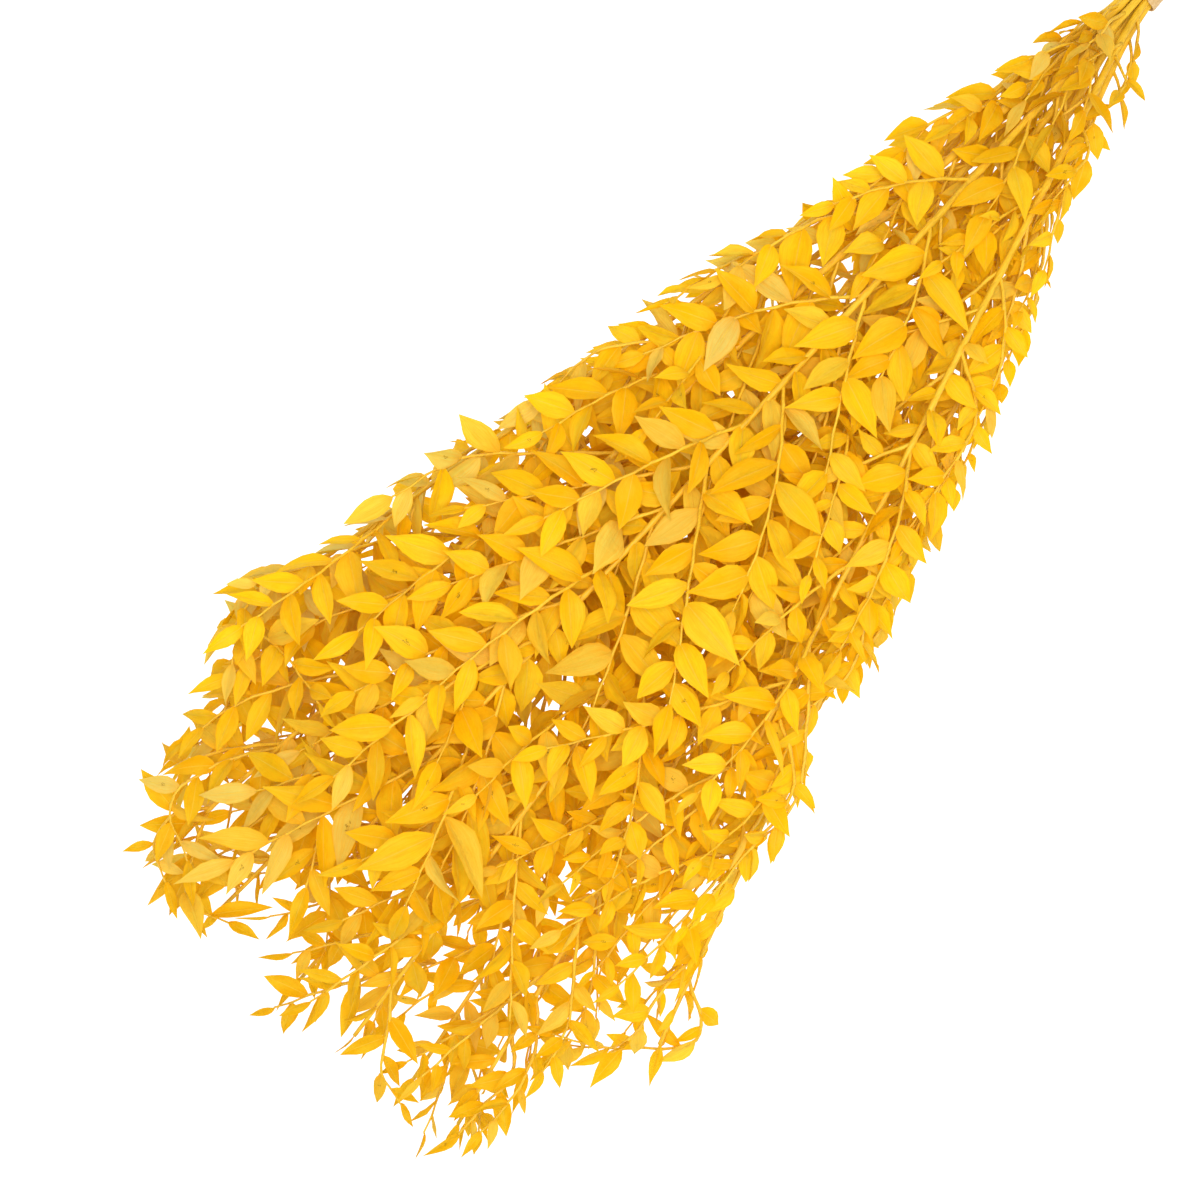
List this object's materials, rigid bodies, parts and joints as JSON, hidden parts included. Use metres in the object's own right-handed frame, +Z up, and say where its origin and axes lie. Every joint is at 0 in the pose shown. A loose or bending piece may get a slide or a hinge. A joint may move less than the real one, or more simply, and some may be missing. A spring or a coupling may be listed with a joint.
{
  "type": "dried ruscus bunch",
  "caption": "Bunch of dried ruscus stems dyed yellow, lying on its side, held at the stem ends by an elastic band.",
  "frame": {"origin": "middle of the flat underside of the elastic band, on the surface that the bunch lies on", "axes": "+X along the bunch from the band to the leaf tips, +Z up, +Y across the bunch"},
  "size_m": [0.7617, 0.3262, 0.1289],
  "materials": {
    "dyed_ruscus": "satin, dyed and dried",
    "natural_rubber": "matt"
  },
  "bodies": {
    "root": {"leafy_stem_01": "dyed_ruscus", "leafy_stem_02": "dyed_ruscus", "leafy_stem_03": "dyed_ruscus", "leafy_stem_04": "dyed_ruscus", "leafy_stem_05": "dyed_ruscus", "leafy_stem_06": "dyed_ruscus", "leafy_stem_07": "dyed_ruscus", "leafy_stem_08": "dyed_ruscus", "leafy_stem_09": "dyed_ruscus", "leafy_stem_10": "dyed_ruscus", "leafy_stem_11": "dyed_ruscus", "leafy_stem_12": "dyed_ruscus", "elastic_band": "natural_rubber"}
  },
  "joints": []
}
